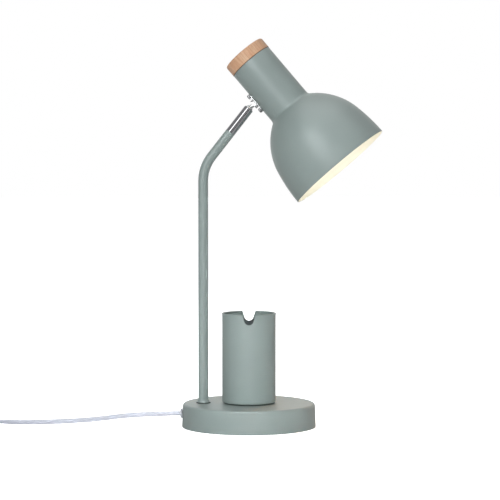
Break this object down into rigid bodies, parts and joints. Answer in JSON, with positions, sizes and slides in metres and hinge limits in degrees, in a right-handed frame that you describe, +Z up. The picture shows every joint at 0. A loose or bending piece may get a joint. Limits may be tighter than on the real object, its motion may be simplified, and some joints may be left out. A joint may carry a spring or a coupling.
{
  "type": "desk lamp",
  "caption": "Table lamp with a round weighted base, bent tube arm, ball joint, spun metal shade with a wooden cap, and a notched pen cup on the base.",
  "frame": {"origin": "middle of the base pad's underside, on the table", "axes": "+Z up, +X from the post towards the side the shade points to, +Y towards the back"},
  "size_m": [0.6334, 0.15, 0.4335],
  "materials": {
    "sage_paint": "satin sage green powder coat",
    "sage_plastic": "moulded, close to the paint's colour",
    "cast_iron": "rough cast, black dipped",
    "zinc_steel": "zinc plated",
    "black_rubber": "soft rubber disc",
    "chrome": "polished chrome plate",
    "oak": "light oiled oak",
    "nylon": "natural nylon",
    "white_phenolic": "moulded",
    "brass": "bright pressed brass",
    "nickel_brass": "nickel plated",
    "opal_glass": "opal, lit",
    "bulb_white": "moulded",
    "core_brown": "wire insulation",
    "cord_sheath": "soft pale grey white sheath",
    "white_plastic": "moulded, semi gloss",
    "tie_white": "nylon strap"
  },
  "bodies": {
    "stand": {"base_shell": "sage_paint", "ballast_weight": "cast_iron", "base_bottom_plate": "zinc_steel", "base_plate_screws": "zinc_steel", "base_pad": "black_rubber", "arm_tube": "sage_paint", "post_collar": "sage_paint", "post_nipple": "zinc_steel", "post_lock_washer": "zinc_steel", "post_nut": "zinc_steel", "pen_cup": "sage_paint", "cup_spacer": "black_rubber", "cup_screw_washer": "zinc_steel", "cup_screw": "zinc_steel", "cord_gland": "sage_plastic", "gland_nut": "sage_plastic", "cord_stop": "white_plastic", "cord_tail_inside": "cord_sheath", "terminal_block": "nylon", "terminal_screws": "zinc_steel", "supply_wires": "core_brown", "arm_wires": "core_brown", "joint_barrel": "chrome", "ball_spring": "zinc_steel", "cord_to_switch": "cord_sheath", "switch_lower_shell": "white_plastic", "switch_upper_shell": "white_plastic", "switch_contacts": "brass", "switch_screws": "zinc_steel", "cord_to_coil": "cord_sheath", "cord_coil": "cord_sheath", "cord_tie": "tie_white", "cord_to_plug": "cord_sheath", "plug_strain_relief": "white_plastic", "plug_body": "white_plastic", "plug_pins": "nickel_brass"},
    "ball_seat": {"ball_seat": "nylon"},
    "shade_head": {"ball_stud": "chrome", "joint_plate": "chrome", "joint_plate_screws": "chrome", "joint_plate_nuts": "zinc_steel", "stud_washer": "zinc_steel", "stud_nut": "zinc_steel", "shade_skirt": "sage_paint", "shade_dome": "sage_paint", "shade_neck": "sage_paint", "wood_cap": "oak", "neck_disc": "zinc_steel", "cap_screws": "zinc_steel", "holder_nipple": "brass", "holder_nut": "brass", "lampholder_cover": "white_phenolic", "lampholder_body": "white_phenolic", "lampholder_contacts": "brass", "bulb_cap": "nickel_brass", "bulb_tip": "nickel_brass", "bulb_body": "bulb_white", "bulb_globe": "opal_glass", "head_wires": "core_brown"},
    "switch_rocker": {"switch_rocker": "white_plastic"}
  },
  "joints": [
    {"name": "head_swivel", "type": "hinge", "parent": "stand", "child": "ball_seat", "pos_m": [-0.00046, 0, 0.3552], "axis": [0.6157, 0, 0.788], "range_deg": [-170, 170]},
    {"name": "head_tilt", "type": "hinge", "parent": "ball_seat", "child": "shade_head", "pos_m": [-0.00046, 0, 0.3552], "axis": [0.0933, 0.993, -0.0729], "range_deg": [-49, 26]},
    {"name": "switch_rock", "type": "hinge", "parent": "stand", "child": "switch_rocker", "pos_m": [-0.348, 0.024, 0.0113], "axis": [0, 1, 0], "range_deg": [-16, 0]}
  ]
}
